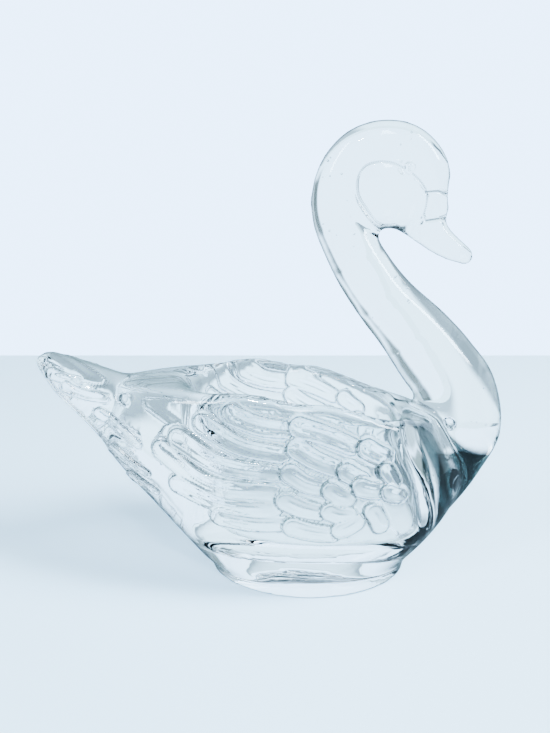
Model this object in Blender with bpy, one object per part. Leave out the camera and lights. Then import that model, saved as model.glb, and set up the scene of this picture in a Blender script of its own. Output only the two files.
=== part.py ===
"""A clear pressed-glass swan dish: an open-backed bowl on a round foot, with a bent neck and a raised tail.

The swan is pressed and drawn in one, so it is one solid. It faces +X, +Z is up, and the origin is on the
ground under the middle of the foot. The figure keeps its own proportions as shares of its height, and its
walls, its floor, its foot and the depth of its carving have sizes of their own.
"""

import math

import bmesh
import bpy
import numpy as np

# The figure's height, and the unit that its proportions are written in
HEIGHT = 0.140
UNIT = HEIGHT / 140

# Glass thicknesses and the foot
WALL = 0.0060
FLOOR = 0.0090
CAVITY_CORNER = 0.0130
FOOT_LENGTH = 0.0636
FOOT_WIDTH = 0.0548
FOOT_HEIGHT = 0.0036
FOOT_STEP = 0.0006
LIP_BEVEL = 0.0030

# Depth of the carving
FEATHER_DEPTH = 0.0014
CHEEK_GROOVE_DEPTH = 0.0006
CHEEK_GROOVE_WIDTH = 0.0014
EYE_RADIUS = 0.0016
EYE_HEIGHT = 0.0007

# Fineness of the faceted solid
RING_POINTS = 96
TUBE_POINTS = 32
VOXEL = 0.0011
SMOOTH_PASSES = 6
CARVING_PASSES = 2
TRIANGLES_KEPT = 0.10
ALLOWANCE = 0.0020

GLASS_COLOUR = (0.93, 0.97, 0.98, 1.0)
GLASS_IOR = 1.5

# The body, level by level: height, rearmost x, foremost x and half width, in units
BODY_LEVELS = [
    (4.5, -34.8, 32.8, 28.2),
    (12.0, -41.5, 39.0, 31.0),
    (22.0, -50.4, 45.2, 33.0),
    (32.0, -59.5, 49.0, 33.8),
    (42.0, -66.5, 49.0, 33.0),
    (51.0, -66.5, 46.0, 31.4),
    (60.0, -62.0, 41.0, 29.8),
]
BODY_EGG = 0.14

# The height of the rim along the swan: x and z, in units
RIM_LINE = [
    (-62, 61.2), (-45, 61.5), (-31, 61.5), (-20, 62.6), (-12, 61.9), (-5, 60.2),
    (6, 59.4), (14, 56.9), (22, 54.0), (32, 51.8), (45, 50.0),
]

# The ends of the hollow: height, rearmost x and foremost x, in units
HOLLOW_ENDS = [
    (8.0, -31.0, 32.5), (16.0, -33.0, 35.5), (27.0, -34.5, 36.5), (38.0, -36.0, 34.5), (48.0, -37.0, 30.5),
    (56.0, -37.5, 27.8), (64.0, -38.0, 26.0),
]
HOLLOW_SQUARENESS = 2.5
# How much narrower the cut is above the rim, where the neck bends back over it
HOLLOW_LEAN = 0.85

# The neck from breast to forehead: back edge x, z, front edge x, z and half width, in units
NECK_SECTIONS = [
    (22.0, 6.5, 34.5, 5.5, 5.0),
    (29.0, 17.0, 46.8, 17.0, 6.0),
    (32.0, 30.0, 56.6, 31.0, 7.5),
    (34.0, 44.0, 62.0, 47.5, 12.6),
    (34.2, 54.8, 57.4, 64.8, 12.9),
    (30.4, 60.0, 51.0, 73.0, 12.6),
    (23.2, 70.9, 41.3, 83.1, 11.9),
    (15.3, 81.3, 30.9, 92.0, 10.7),
    (8.7, 91.3, 24.0, 100.3, 9.7),
    (3.9, 101.0, 19.4, 107.3, 8.8),
    (0.6, 109.5, 15.4, 113.3, 8.0),
    (0.0, 118.0, 13.8, 118.5, 7.6),
    (3.0, 128.1, 14.8, 122.8, 7.2),
    (9.8, 136.0, 17.5, 126.0, 7.0),
    (20.5, 139.9, 21.3, 127.0, 7.0),
    (30.4, 138.6, 25.6, 126.5, 7.2),
    (38.1, 132.9, 27.5, 124.0, 7.3),
    (42.0, 125.4, 28.8, 120.5, 7.0),
    (41.4, 117.8, 30.0, 116.3, 6.2),
]

# The bill from the face to its tip: upper edge x, z, lower edge x, z and half width, in units
BILL_SECTIONS = [
    (38.0, 113.0, 27.5, 107.0, 5.4),
    (40.8, 110.3, 31.5, 104.4, 5.4),
    (44.0, 106.6, 37.5, 100.6, 5.2),
    (47.4, 103.8, 42.6, 98.2, 4.6),
    (49.6, 101.7, 46.2, 97.0, 3.4),
]

# Lobes of the head, each centre x, z, half sizes along, across and up in units, and squareness
CHEEK_LOBE = (23.4, 119.4, 12.0, 8.3, 11.4, 2.9)
BILL_KNOB = (36.6, 114.2, 5.4, 5.4, 4.3, 2.6)
EYE_PLACE = (28.5, 125.5)
# The crease round the cheek, from under the chin to the bill, and the two creases by the bill's knob
HEAD_CREASES = [
    [
        (28.1, 106.9), (24.9, 108.9), (20.6, 109.2), (16.2, 113.6), (13.4, 118.6), (13.5, 123.0), (15.5, 126.1),
        (18.7, 127.2), (23.5, 126.9), (27.4, 125.0), (30.8, 122.7), (34.1, 118.1), (34.2, 116.3), (33.7, 111.9),
    ],
    [(33.6, 118.6), (37.5, 118.9), (42.4, 117.6)],
    [(34.4, 110.4), (38.0, 110.9), (42.4, 111.4)],
]

# The tail from body to tip: x, underside z, top z and half width, in units
TAIL_STATIONS = [
    (-48.0, 23.0, 58.0, 17.0),
    (-57.0, 30.0, 63.0, 17.0),
    (-65.0, 39.4, 66.0, 16.2),
    (-73.0, 48.6, 68.2, 14.4),
    (-80.0, 56.0, 70.2, 11.6),
    (-84.2, 62.4, 71.0, 7.6),
    (-85.8, 65.2, 70.0, 5.0),
]
TAIL_KEEL = 0.5
TAIL_SCOOP = 2.2

# Rows of feathers on each side, from tail to shoulder. A row has a count, the half widths of a feather at its
# tip and root, how far the row lies over the last one, and curves through the tips, middles and roots
FEATHER_ROWS = [
    dict(count=6, half=(1.9, 1.3), lift=0.0,
         tips=[(-78.2, 68.2), (-79.0, 64.6), (-74.0, 60.9), (-64.0, 53.0), (-59.9, 42.3), (-54.4, 34.4)],
         middles=[(-75.0, 67.4), (-75.4, 63.4), (-69.3, 59.0), (-58.3, 49.9), (-55.1, 39.7), (-51.0, 32.8)],
         roots=[(-70.4, 66.8), (-70.7, 62.4), (-62.2, 57.6), (-51.1, 45.8), (-48.7, 37.0), (-46.4, 31.0)]),
    dict(count=6, half=(3.6, 2.9), lift=0.0,
         tips=[(-22.8, 57.3), (-31.0, 54.2), (-38.2, 49.4), (-43.2, 45.6), (-38.4, 35.8), (-26.3, 27.3)],
         middles=[(-15.5, 54.6), (-21.0, 49.0), (-27.2, 43.6), (-31.3, 37.6), (-26.1, 31.2), (-18.1, 26.2)],
         roots=[(-7.0, 53.4), (-8.8, 46.6), (-11.2, 41.2), (-11.2, 35.8), (-10.9, 31.2), (-8.2, 26.6)]),
    dict(count=5, half=(3.6, 3.0), lift=0.3,
         tips=[(-4.0, 54.3), (-4.6, 48.6), (-6.4, 41.6), (-7.6, 33.7), (-5.6, 25.7)],
         middles=[(2.7, 52.2), (-0.1, 45.6), (-2.1, 38.8), (-3.9, 31.8), (-0.8, 24.2)],
         roots=[(10.7, 48.6), (5.8, 43.0), (4.0, 37.2), (1.6, 30.2), (5.4, 23.2)]),
    dict(count=4, half=(3.2, 2.9), lift=0.5,
         tips=[(9.1, 41.7), (4.9, 36.5), (4.6, 30.4), (7.8, 24.7)],
         middles=[(11.0, 40.5), (7.0, 34.9), (7.0, 29.3), (9.9, 25.4)],
         roots=[(13.4, 39.3), (9.4, 33.9), (9.9, 28.9), (12.1, 26.6)]),
    dict(count=3, half=(3.3, 3.0), lift=0.7,
         tips=[(14.9, 47.8), (13.3, 37.1), (17.0, 29.6)], middles=[(17.3, 46.2), (15.6, 36.2), (18.1, 27.6)],
         roots=[(20.0, 44.8), (18.3, 35.6), (19.2, 25.0)]),
    dict(count=2, half=(2.8, 2.6), lift=0.9,
         tips=[(20.4, 41.0), (21.4, 34.8)], middles=[(21.6, 39.4), (22.8, 34.0)], roots=[(22.8, 37.4), (24.8, 33.4)]),
]


def read_curve(rows, at, stops):
    """Reads a smooth curve through rows of numbers, which stand at the given stops."""
    rows = np.array(rows, float)
    slopes = np.gradient(rows, stops, axis=0)
    at = np.clip(np.atleast_1d(at), stops[0], stops[-1])
    index = np.clip(np.searchsorted(stops, at, side="right") - 1, 0, len(stops) - 2)
    span = (stops[index + 1] - stops[index])[:, None]
    s = (at - stops[index])[:, None] / span
    return (
        (2 * s**3 - 3 * s**2 + 1) * rows[index]
        + (s**3 - 2 * s**2 + s) * span * slopes[index]
        + (3 * s**2 - 2 * s**3) * rows[index + 1]
        + (s**3 - s**2) * span * slopes[index + 1]
    )


def along(rows, count):
    """Evenly spaced readings along a curve through rows of numbers, spaced by their first two columns."""
    steps = np.linalg.norm(np.diff(np.array(rows, float)[:, :2], axis=0), axis=1)
    stops = np.concatenate([[0], np.cumsum(steps)])
    return read_curve(rows, np.linspace(0, stops[-1], count), stops)


def spread(points, count):
    """Readings along a curve whose points count as equal steps."""
    return read_curve(points, np.linspace(0, 1, count), np.linspace(0, 1, len(points)))


def across(rows, at):
    """Readings of a curve at values of its first column."""
    rows = np.array(sorted(rows), float)
    return read_curve(rows[:, 1:], at, rows[:, 0])


def circle(count):
    return np.arange(count) * 2 * math.pi / count


def smooth_step(value):
    value = np.clip(value, 0, 1)
    return value * value * (3 - 2 * value)


def add_loft(mesh, rings):
    """Adds a closed solid to a bmesh: a skin over rings of points, with a fan at each end."""
    loops = [[mesh.verts.new(p) for p in ring] for ring in rings]
    count = len(loops[0])
    for lower, upper in zip(loops, loops[1:]):
        for i in range(count):
            j = (i + 1) % count
            mesh.faces.new((lower[i], lower[j], upper[j], upper[i]))
    for loop, ring in ((loops[0], rings[0]), (loops[-1], rings[-1])):
        middle = mesh.verts.new(np.mean(ring, axis=0))
        for i in range(count):
            mesh.faces.new((loop[i], loop[(i + 1) % count], middle))


def body_ring(share):
    """The body's outline at a share of the way from the foot's top to the rim."""
    low, high = BODY_LEVELS[0][0], BODY_LEVELS[-1][0]
    rear, front, half = across(BODY_LEVELS, low + share * (high - low))[0] * UNIT
    turn = circle(RING_POINTS)
    x = (rear + front) / 2 + (front - rear) / 2 * np.cos(turn)
    y = half * np.sin(turn) * (1 + BODY_EGG * share * np.cos(turn))
    rim = across(RIM_LINE, x / UNIT)[:, 0] * UNIT
    start = FOOT_HEIGHT + FOOT_STEP
    return np.column_stack([x, y, start + share * (rim - start)])


def add_body(mesh):
    """The foot and the body above it, filled, up to the rim and closed over the top."""
    turn = circle(RING_POINTS)
    foot = np.column_stack([FOOT_LENGTH / 2 * np.cos(turn), FOOT_WIDTH / 2 * np.sin(turn), 0 * turn])
    rings = [foot - (0, 0, ALLOWANCE), foot + (0, 0, FOOT_HEIGHT)]
    rings += [body_ring(share) for share in np.linspace(0, 1, 44)]
    top = rings[-1]
    middle = top.mean(axis=0)
    for share in (0.97, 0.85, 0.65, 0.4, 0.2):
        ring = middle + (top - middle) * share
        ring[:, 2] = across(RIM_LINE, ring[:, 0] / UNIT)[:, 0] * UNIT
        rings.append(ring)
    add_loft(mesh, rings)


def add_tube(mesh, sections, count):
    """A tube of oval sections, each given by its two edges in the swan's plane, with a rounded end."""
    rows = along(sections, count) * UNIT
    middle, reach = (rows[:, 0:2] + rows[:, 2:4]) / 2, (rows[:, 2:4] - rows[:, 0:2]) / 2
    ahead = np.gradient(middle, axis=0)
    ahead /= np.linalg.norm(ahead, axis=1)[:, None]
    turn = circle(TUBE_POINTS)
    rings = []
    for (mx, mz), (rx, rz), half in zip(middle, reach, rows[:, 4]):
        rings.append(np.column_stack([mx + rx * np.cos(turn), half * np.sin(turn), mz + rz * np.cos(turn)]))
    (mx, mz), (rx, rz), (dx, dz), half = middle[-1], reach[-1], ahead[-1], rows[-1, 4]
    length = math.hypot(rx, rz)
    for share in (0.35, 0.65, 0.87, 0.97):
        cut = math.sqrt(1 - share**2)
        x = mx + dx * length * share + rx * cut * np.cos(turn)
        z = mz + dz * length * share + rz * cut * np.cos(turn)
        rings.append(np.column_stack([x, half * cut * np.sin(turn), z]))
    add_loft(mesh, rings)


def add_lobe(mesh, lobe):
    """A squarish ball on the swan's middle plane."""
    x, z, length, width, height, square = lobe
    made = bmesh.ops.create_uvsphere(mesh, u_segments=TUBE_POINTS, v_segments=TUBE_POINTS // 2, radius=1)
    for vert in made["verts"]:
        out = vert.co / sum(abs(c) ** square for c in vert.co) ** (1 / square)
        vert.co = ((x + out.x * length) * UNIT, out.y * width * UNIT, (z + out.z * height) * UNIT)


def add_tail(mesh):
    """The tail: broad above and narrow below, with a slight scoop along its top."""
    turn = circle(TUBE_POINTS)
    up, side = (1 - np.cos(turn)) / 2, np.sin(turn)
    rings = []
    for x, low, high, half in along(TAIL_STATIONS, 26):
        y = half * side * (TAIL_KEEL + (1 - TAIL_KEEL) * up)
        z = low + (high - low) * up - TAIL_SCOOP * smooth_step((up - 0.8) / 0.2) * (half / 17)
        rings.append(np.column_stack([np.full(TUBE_POINTS, x), y, z]) * UNIT)
    add_loft(mesh, rings)


def object_from(name, mesh, cuts=False):
    """Links a new object that holds the bmesh. A helper that only cuts is left out of the model."""
    bmesh.ops.recalc_face_normals(mesh, faces=mesh.faces)
    data = bpy.data.meshes.new(name)
    mesh.to_mesh(data)
    mesh.free()
    obj = bpy.data.objects.new(name, data)
    bpy.context.scene.collection.objects.link(obj)
    if cuts:
        obj.hide_render = True
        obj.display_type = "WIRE"
    return obj


def make_hollow():
    """What the plunger leaves: the hollow of the bowl, open through the back."""
    mesh = bmesh.new()
    high = BODY_LEVELS[-1][0] * UNIT
    turn = circle(RING_POINTS)
    cos, sin = np.cos(turn), np.sin(turn)
    power = 2 / HOLLOW_SQUARENESS
    corner = CAVITY_CORNER * (1 - np.cos(np.linspace(0, math.pi / 2, 10)))
    lip = high - FLOOR - LIP_BEVEL
    walls = np.linspace(CAVITY_CORNER, lip, 22)[1:]
    depths = np.concatenate([corner, walls, [high - FLOOR, high - FLOOR + ALLOWANCE]])
    rings = []
    for depth in depths:
        level = (FLOOR + depth) / UNIT
        rear, front = across(HOLLOW_ENDS, level)[0] * UNIT
        half = across(BODY_LEVELS, level)[0, 2] * UNIT - WALL
        rise = min(1.0, depth / CAVITY_CORNER)
        inset = CAVITY_CORNER * (1 - math.sqrt(1 - (1 - rise) ** 2)) - max(0.0, depth - lip)
        x = (rear + front) / 2 + ((front - rear) / 2 - inset) * np.sign(cos) * np.abs(cos) ** power
        y = (half - inset) * np.sign(sin) * np.abs(sin) ** power
        rim = across(RIM_LINE, x / UNIT)[:, 0] * UNIT
        rings.append(np.column_stack([x, y, FLOOR + depth * (rim - FLOOR) / (high - FLOOR)]))
    rings.append(rings[-1] * (HOLLOW_LEAN, HOLLOW_LEAN, 1) + (0, 0, 4 * ALLOWANCE))
    add_loft(mesh, rings)
    return object_from("hollow", mesh, cuts=True)


def make_ground():
    """Everything under the foot, which is ground off flat."""
    mesh = bmesh.new()
    size = 4 * HEIGHT
    bmesh.ops.create_cube(mesh, size=size)
    bmesh.ops.translate(mesh, verts=mesh.verts, vec=(0, 0, -size / 2))
    return object_from("ground", mesh, cuts=True)


def gap_to(line, x, z):
    """The distance from each point to a line's nearest point, and how far along the line that is."""
    gap = np.hypot(x[:, None] - line[:, 0], z[:, None] - line[:, 1])
    nearest = gap.argmin(axis=1)
    return gap[np.arange(len(x)), nearest], nearest / (len(line) - 1)


def feather_height(x, z):
    """The height of the feathers over the side of the body, as a share of their depth."""
    height = np.zeros(len(x))
    for row in FEATHER_ROWS:
        count = row["count"]
        layer = np.zeros(len(x))
        for points in zip(spread(row["roots"], count), spread(row["middles"], count), spread(row["tips"], count)):
            near, share = gap_to(along(points, 25), x, z)
            half = row["half"][1] + (row["half"][0] - row["half"][1]) * share
            pillow = np.clip(1 - (near / half) ** 2, 0, 1) ** 0.6 * (0.55 + 0.45 * share)
            layer = np.maximum(layer, pillow)
        inside = layer > 0
        height[inside] = np.maximum(height[inside] * 0.35, layer[inside] * 0.9 + row["lift"] * 0.3)
    return height


def carve(obj):
    """Raises the feathers, cuts the line round the cheek and sets the eyes, on the baked mesh."""
    mesh = obj.data
    place, facing = np.empty(len(mesh.vertices) * 3), np.empty(len(mesh.vertices) * 3)
    mesh.vertices.foreach_get("co", place)
    mesh.vertices.foreach_get("normal", facing)
    place, facing = place.reshape(-1, 3), facing.reshape(-1, 3)
    x, z = place[:, 0] / UNIT, place[:, 2] / UNIT
    outward = smooth_step((facing[:, 1] * np.sign(place[:, 1]) - 0.15) / 0.35)
    move = np.zeros(len(x))
    side = (outward > 0) & (z < BODY_LEVELS[-1][0] + 14) & (z > BODY_LEVELS[0][0]) & (x < 34)
    move[side] = FEATHER_DEPTH * feather_height(x[side], z[side])
    head = (outward > 0) & (z > 100)
    gap = np.min([gap_to(along(line, 100), x[head], z[head])[0] for line in HEAD_CREASES], axis=0) * UNIT
    groove = np.exp(-((gap / (CHEEK_GROOVE_WIDTH / 2)) ** 2))
    eye = np.hypot(x[head] - EYE_PLACE[0], z[head] - EYE_PLACE[1]) * UNIT
    button = np.sqrt(np.clip(1 - (eye / EYE_RADIUS) ** 2, 0, 1))
    move[head] = np.where(button > 0, EYE_HEIGHT * button, -CHEEK_GROOVE_DEPTH * groove)
    place += facing * (move * outward)[:, None]
    mesh.vertices.foreach_set("co", place.ravel())
    mesh.update()


def modifier(obj, kind, name, **settings):
    made = obj.modifiers.new(name, kind)
    for key, value in settings.items():
        setattr(made, key, value)


def bake(obj):
    """Turns what an object's modifiers give into its own mesh."""
    shape = obj.evaluated_get(bpy.context.evaluated_depsgraph_get())
    obj.data = bpy.data.meshes.new_from_object(shape)
    obj.modifiers.clear()


def glass_material():
    material = bpy.data.materials.new("clear_glass")
    material.use_nodes = True
    shader = material.node_tree.nodes["Principled BSDF"]
    shader.inputs["Base Color"].default_value = GLASS_COLOUR
    shader.inputs["Roughness"].default_value = 0.02
    shader.inputs["Metallic"].default_value = 0.0
    shader.inputs["IOR"].default_value = GLASS_IOR
    shader.inputs["Transmission Weight"].default_value = 1.0
    return material


def make_swan():
    mesh = bmesh.new()
    add_body(mesh)
    add_tail(mesh)
    add_tube(mesh, NECK_SECTIONS, 110)
    add_tube(mesh, BILL_SECTIONS, 16)
    add_lobe(mesh, CHEEK_LOBE)
    add_lobe(mesh, BILL_KNOB)
    swan = object_from("glass_swan", mesh)
    modifier(swan, "REMESH", "fuse", mode="VOXEL", voxel_size=VOXEL)
    modifier(swan, "BOOLEAN", "hollow", operation="DIFFERENCE", object=make_hollow())
    modifier(swan, "REMESH", "fuse_again", mode="VOXEL", voxel_size=VOXEL)
    modifier(swan, "SMOOTH", "melt", factor=0.5, iterations=SMOOTH_PASSES)
    bake(swan)
    carve(swan)
    modifier(swan, "SMOOTH", "soften", factor=0.5, iterations=CARVING_PASSES)
    modifier(swan, "DECIMATE", "facet", ratio=TRIANGLES_KEPT)
    modifier(swan, "BOOLEAN", "ground", operation="DIFFERENCE", object=make_ground())
    swan.data.materials.clear()
    swan.data.materials.append(glass_material())
    swan.data.shade_smooth()


def main():
    for obj in list(bpy.data.objects):
        bpy.data.objects.remove(obj)
    make_swan()


main()
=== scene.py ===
import math

import bmesh
import bpy
import numpy as np
from mathutils import Matrix, Vector


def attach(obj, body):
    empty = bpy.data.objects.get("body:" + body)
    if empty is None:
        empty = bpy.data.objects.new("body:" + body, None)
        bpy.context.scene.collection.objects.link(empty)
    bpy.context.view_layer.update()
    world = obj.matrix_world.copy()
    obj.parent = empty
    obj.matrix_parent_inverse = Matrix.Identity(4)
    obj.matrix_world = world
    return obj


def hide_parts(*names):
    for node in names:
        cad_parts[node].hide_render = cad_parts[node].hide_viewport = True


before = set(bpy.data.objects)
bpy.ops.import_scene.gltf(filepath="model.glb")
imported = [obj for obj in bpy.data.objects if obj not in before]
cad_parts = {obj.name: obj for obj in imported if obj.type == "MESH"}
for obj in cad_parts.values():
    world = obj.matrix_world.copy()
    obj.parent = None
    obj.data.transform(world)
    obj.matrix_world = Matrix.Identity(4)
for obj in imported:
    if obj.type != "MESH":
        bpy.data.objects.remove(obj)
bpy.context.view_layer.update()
print("frame loaded")

unit = 0.001  # the proportions below are in millimetres of a 140 mm swan


def readCurve(rows, at, stops):  # reads a smooth curve through the rows, which lie at the stops
    rows = np.array(rows, float)
    slopes = np.gradient(rows, stops, axis=0)
    at = np.clip(np.atleast_1d(at), stops[0], stops[-1])
    index = np.clip(np.searchsorted(stops, at, side="right") - 1, 0, len(stops) - 2)
    span = (stops[index + 1] - stops[index])[:, None]
    s = (at - stops[index])[:, None] / span
    return (
        (2 * s**3 - 3 * s**2 + 1) * rows[index]
        + (s**3 - 2 * s**2 + s) * span * slopes[index]
        + (3 * s**2 - 2 * s**3) * rows[index + 1]
        + (s**3 - s**2) * span * slopes[index + 1]
    )


def along(rows, count):  # evenly spaced readings, measured on the first two columns
    steps = np.linalg.norm(np.diff(np.array(rows, float)[:, :2], axis=0), axis=1)
    stops = np.concatenate([[0], np.cumsum(steps)])
    return readCurve(rows, np.linspace(0, stops[-1], count), stops)


def spread(points, count):  # readings spread evenly from the first point to the last
    return readCurve(points, np.linspace(0, 1, count), np.linspace(0, 1, len(points)))


def across(rows, at):  # readings at values of the first column
    rows = np.array(sorted(rows), float)
    return readCurve(rows[:, 1:], at, rows[:, 0])


def circle(count):
    return np.arange(count) * 2 * math.pi / count


def smoothStep(value):
    value = np.clip(value, 0, 1)
    return value * value * (3 - 2 * value)


def addLoft(mesh, rings):  # a skin from ring to ring, closed at both ends
    loops = [[mesh.verts.new(p) for p in ring] for ring in rings]
    count = len(loops[0])
    for lower, upper in zip(loops, loops[1:]):
        for i in range(count):
            j = (i + 1) % count
            mesh.faces.new((lower[i], lower[j], upper[j], upper[i]))
    for loop, ring in ((loops[0], rings[0]), (loops[-1], rings[-1])):
        middle = mesh.verts.new(np.mean(ring, axis=0))
        for i in range(count):
            mesh.faces.new((loop[i], loop[(i + 1) % count], middle))


def objectFrom(name, mesh, outward=True):
    if outward:
        bmesh.ops.recalc_face_normals(mesh, faces=mesh.faces)
    data = bpy.data.meshes.new(name)
    mesh.to_mesh(data)
    mesh.free()
    obj = bpy.data.objects.new(name, data)
    bpy.context.scene.collection.objects.link(obj)
    return obj


def addModifier(obj, kind, name, **settings):
    made = obj.modifiers.new(name, kind)
    for key, value in settings.items():
        setattr(made, key, value)
    return made


def bake(obj):  # the modifiers' result becomes the object's own mesh
    bpy.context.view_layer.update()
    shape = obj.evaluated_get(bpy.context.evaluated_depsgraph_get())
    old = obj.data
    obj.data = bpy.data.meshes.new_from_object(shape)
    obj.modifiers.clear()
    bpy.data.meshes.remove(old)


def readArray(items, field, width=3):
    values = np.empty(len(items) * width)
    items.foreach_get(field, values)
    return values.reshape(-1, width)


# the whole swan, in millimetres
swanForm = dict(
    wall=6.0,
    floor=9.0,
    cavityCorner=13.0,
    footLength=63.6,
    footWidth=54.8,
    footHeight=3.6,
    footStep=0.6,
    lipBevel=3.0,
    voxel=1.35,
    meltPasses=5,
    refineSteps=[(0.05, 0), (0.16, 0), (0.2, 104)],  # steepest rise across a face, from which height up
    carvePasses=2,
    allowance=2.0,
    ringPoints=128,
    tubePoints=48,
    bodyRings=56,
    roofShares=(0.97, 0.85, 0.65, 0.4, 0.2),  # the rings that close the body over its top
    tipShares=(0.35, 0.65, 0.87, 0.97),  # the rings that round off a tube's end
    # height, rearmost x, foremost x, half width
    bodyLevels=[
        (4.5, -34.8, 32.8, 28.2), (12.0, -41.5, 39.0, 31.0), (22.0, -50.4, 45.2, 33.0),
        (32.0, -59.5, 49.0, 33.8), (42.0, -66.5, 49.0, 33.0), (51.0, -66.5, 46.0, 31.4),
        (60.0, -62.0, 41.0, 29.8),
    ],
    bodyEgg=0.14,
    rimLine=[
        (-62, 61.2), (-45, 61.5), (-31, 61.5), (-20, 62.6), (-12, 61.9), (-5, 60.2), (6, 59.4), (14, 56.9),
        (22, 54.0), (32, 51.8), (45, 50.0),
    ],
    # height, rearmost x, foremost x of the hollow
    hollowEnds=[
        (8.0, -31.0, 32.5), (16.0, -33.0, 35.5), (27.0, -34.5, 36.5), (38.0, -36.0, 34.5),
        (48.0, -37.0, 30.5), (56.0, -37.5, 27.8), (64.0, -38.0, 26.0),
    ],
    hollowSquareness=(2.1, 3.0),  # of its rear half and its front half
    hollowLean=0.85,
    # back edge x, z, front edge x, z, half width
    neckSections=[
        (22.0, 6.5, 34.5, 5.5, 5.0), (29.0, 17.0, 46.8, 17.0, 6.0), (32.0, 30.0, 56.6, 31.0, 7.5),
        (34.0, 44.0, 62.0, 47.5, 12.6), (34.2, 54.8, 57.4, 64.8, 12.9), (30.4, 60.0, 51.0, 73.0, 12.6),
        (23.2, 70.9, 41.3, 83.1, 11.9), (15.3, 81.3, 30.9, 92.0, 10.7), (8.7, 91.3, 24.0, 100.3, 9.7),
        (3.9, 101.0, 19.4, 107.3, 8.8), (0.6, 109.5, 15.4, 113.3, 8.0), (0.0, 118.0, 13.8, 118.5, 7.6),
        (3.0, 128.1, 14.8, 122.8, 7.2), (9.8, 136.0, 17.5, 126.0, 7.0), (20.5, 139.9, 21.3, 127.0, 7.0),
        (30.4, 138.6, 25.6, 126.5, 7.2), (38.1, 132.9, 27.5, 124.0, 7.3), (42.0, 125.4, 28.8, 120.5, 7.0),
        (41.4, 117.8, 30.0, 116.3, 6.2),
    ],
    billSections=[
        (38.0, 113.0, 27.5, 107.0, 5.4), (40.8, 110.3, 31.5, 104.4, 5.4), (44.0, 106.6, 37.5, 100.6, 5.2),
        (47.4, 103.8, 42.6, 98.2, 4.6), (49.6, 101.7, 46.2, 97.0, 3.4),
    ],
    # centre x, z, half sizes along, across and up, squareness
    cheekLobe=(23.4, 119.4, 12.0, 8.3, 11.4, 2.9),
    billKnob=(36.6, 114.2, 5.4, 5.4, 4.3, 2.6),
    # x, underside z, top z, half width
    tailStations=[
        (-48.0, 23.0, 58.0, 17.0), (-57.0, 30.0, 63.0, 17.0), (-65.0, 39.4, 66.0, 16.2),
        (-73.0, 48.6, 68.2, 14.4), (-80.0, 56.0, 70.2, 11.6), (-84.2, 62.4, 71.0, 7.6),
        (-85.8, 65.2, 70.0, 5.0),
    ],
    tailKeel=0.5,
    tailScoop=2.2,
    tailScoopStart=0.8,
)


def bodyRing(share):
    form = swanForm
    low, high = form["bodyLevels"][0][0], form["bodyLevels"][-1][0]
    rear, front, half = across(form["bodyLevels"], low + share * (high - low))[0]
    turn = circle(form["ringPoints"])
    x = (rear + front) / 2 + (front - rear) / 2 * np.cos(turn)
    y = half * np.sin(turn) * (1 + form["bodyEgg"] * share * np.cos(turn))
    rim = across(form["rimLine"], x)[:, 0]
    start = form["footHeight"] + form["footStep"]
    return np.column_stack([x, y, start + share * (rim - start)])


def addBody(mesh):  # the foot and the body above it, filled and closed over the top
    form = swanForm
    turn = circle(form["ringPoints"])
    foot = np.column_stack([form["footLength"] / 2 * np.cos(turn), form["footWidth"] / 2 * np.sin(turn), 0 * turn])
    rings = [foot - (0, 0, form["allowance"]), foot + (0, 0, form["footHeight"])]
    rings += [bodyRing(share) for share in np.linspace(0, 1, form["bodyRings"])]
    top = rings[-1]
    middle = top.mean(axis=0)
    for share in form["roofShares"]:
        ring = middle + (top - middle) * share
        ring[:, 2] = across(form["rimLine"], ring[:, 0])[:, 0]
        rings.append(ring)
    addLoft(mesh, [ring * unit for ring in rings])


def addTube(mesh, sections, count):  # a tube of oval sections with a rounded end
    rows = along(sections, count) * unit
    middle, reach = (rows[:, 0:2] + rows[:, 2:4]) / 2, (rows[:, 2:4] - rows[:, 0:2]) / 2
    ahead = np.gradient(middle, axis=0)
    ahead /= np.linalg.norm(ahead, axis=1)[:, None]
    turn = circle(swanForm["tubePoints"])
    rings = []
    for (mx, mz), (rx, rz), half in zip(middle, reach, rows[:, 4]):
        rings.append(np.column_stack([mx + rx * np.cos(turn), half * np.sin(turn), mz + rz * np.cos(turn)]))
    (mx, mz), (rx, rz), (dx, dz), half = middle[-1], reach[-1], ahead[-1], rows[-1, 4]
    length = math.hypot(rx, rz)
    for share in swanForm["tipShares"]:
        cut = math.sqrt(1 - share**2)
        x = mx + dx * length * share + rx * cut * np.cos(turn)
        z = mz + dz * length * share + rz * cut * np.cos(turn)
        rings.append(np.column_stack([x, half * cut * np.sin(turn), z]))
    addLoft(mesh, rings)


def addLobe(mesh, lobe):  # a squarish ball on the middle plane
    x, z, length, width, height, square = lobe
    points = swanForm["tubePoints"]
    made = bmesh.ops.create_uvsphere(mesh, u_segments=points, v_segments=points // 2, radius=1)
    for vert in made["verts"]:
        out = vert.co / sum(abs(c) ** square for c in vert.co) ** (1 / square)
        vert.co = ((x + out.x * length) * unit, out.y * width * unit, (z + out.z * height) * unit)


def addTail(mesh):
    form = swanForm
    turn = circle(form["tubePoints"])
    up, side = (1 - np.cos(turn)) / 2, np.sin(turn)
    scoopStart, widest = form["tailScoopStart"], form["tailStations"][0][3]
    rings = []
    for x, low, high, half in along(form["tailStations"], 32):
        y = half * side * (form["tailKeel"] + (1 - form["tailKeel"]) * up)
        scoop = form["tailScoop"] * smoothStep((up - scoopStart) / (1 - scoopStart)) * half / widest
        z = low + (high - low) * up - scoop
        rings.append(np.column_stack([np.full(len(turn), x), y, z]) * unit)
    addLoft(mesh, rings)


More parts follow.
